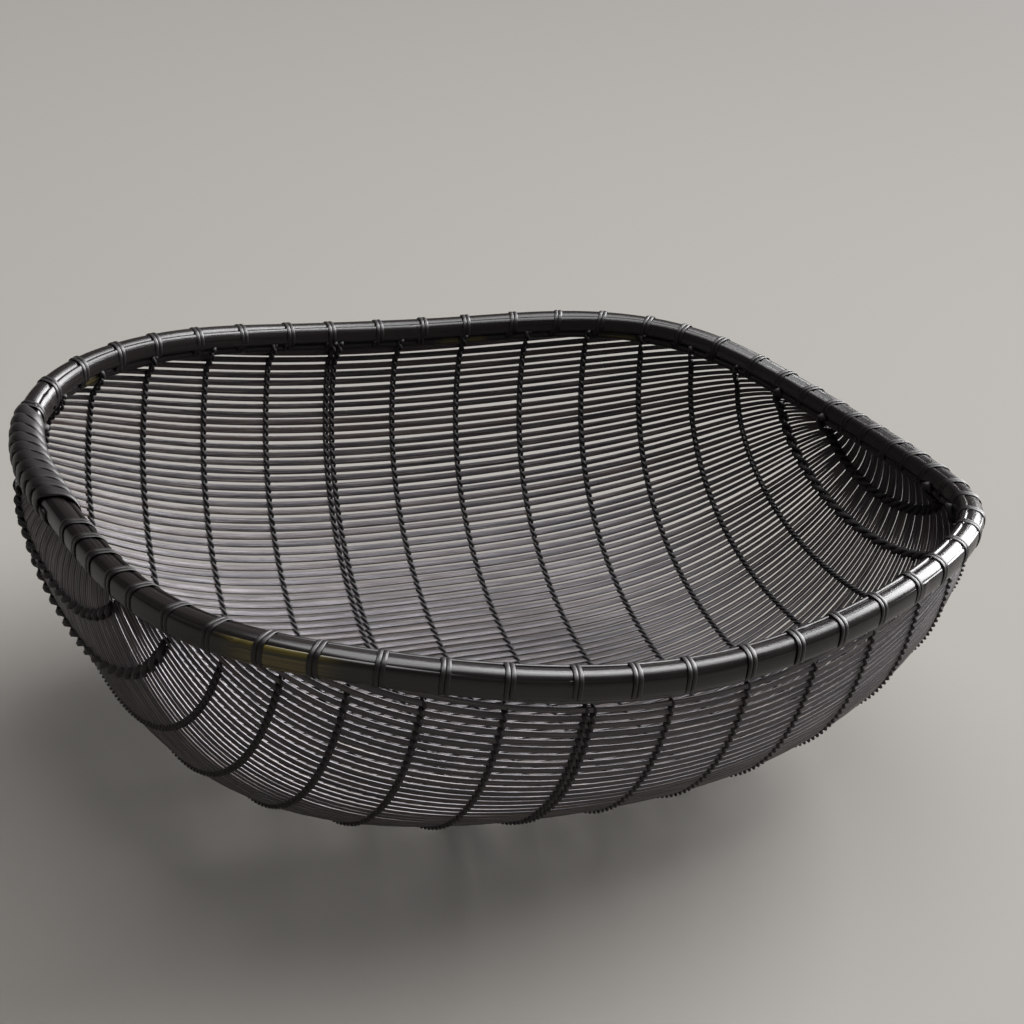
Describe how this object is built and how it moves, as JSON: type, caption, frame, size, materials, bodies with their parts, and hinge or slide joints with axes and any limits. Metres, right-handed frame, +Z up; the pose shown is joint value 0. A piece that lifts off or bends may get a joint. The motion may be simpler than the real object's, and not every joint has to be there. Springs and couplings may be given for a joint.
{
  "type": "harvest basket",
  "caption": "Open boat-shaped basket of split bamboo staves, twined across with cord and bound into a lashed bamboo rim, for carrying and showing produce or flowers.",
  "frame": {"origin": "on the floor under the middle of the basket", "axes": "+Z up, +X along the length of the mouth, +Y across it"},
  "size_m": [0.5768, 0.4316, 0.1999],
  "materials": {
    "stave_bamboo": "satin, dyed black",
    "rim_bamboo": "satin, dyed black and worn brown on the edges",
    "twine": "matt, dyed black",
    "rattan": "satin, dyed black"
  },
  "bodies": {
    "root": {"stave_01": "stave_bamboo", "stave_02": "stave_bamboo", "stave_03": "stave_bamboo", "stave_04": "stave_bamboo", "stave_05": "stave_bamboo", "stave_06": "stave_bamboo", "stave_07": "stave_bamboo", "stave_08": "stave_bamboo", "stave_09": "stave_bamboo", "stave_10": "stave_bamboo", "stave_11": "stave_bamboo", "stave_12": "stave_bamboo", "stave_13": "stave_bamboo", "stave_14": "stave_bamboo", "stave_15": "stave_bamboo", "stave_16": "stave_bamboo", "stave_17": "stave_bamboo", "stave_18": "stave_bamboo", "stave_19": "stave_bamboo", "stave_20": "stave_bamboo", "stave_21": "stave_bamboo", "stave_22": "stave_bamboo", "stave_23": "stave_bamboo", "stave_24": "stave_bamboo", "stave_25": "stave_bamboo", "stave_26": "stave_bamboo", "stave_27": "stave_bamboo", "stave_28": "stave_bamboo", "stave_29": "stave_bamboo", "stave_30": "stave_bamboo", "stave_31": "stave_bamboo", "stave_32": "stave_bamboo", "stave_33": "stave_bamboo", "stave_34": "stave_bamboo", "stave_35": "stave_bamboo", "twined_row_01": "twine", "twined_row_02": "twine", "twined_row_03": "twine", "twined_row_04": "twine", "twined_row_05": "twine", "twined_row_06": "twine", "twined_row_07": "twine", "twined_row_08": "twine", "twined_row_09": "twine", "twined_row_10": "twine", "twined_row_11": "twine", "twined_row_12": "twine", "twined_row_13": "twine", "twined_row_14": "twine", "twined_row_15": "twine", "twined_row_16": "twine", "twined_row_17": "twine", "rim_outer_hoop": "rim_bamboo", "rim_inner_band": "rim_bamboo", "rim_inner_strip": "rim_bamboo", "rim_cap_cane": "rim_bamboo", "rim_lashing_back": "rattan", "rim_lashing_front": "rattan"}
  },
  "joints": []
}
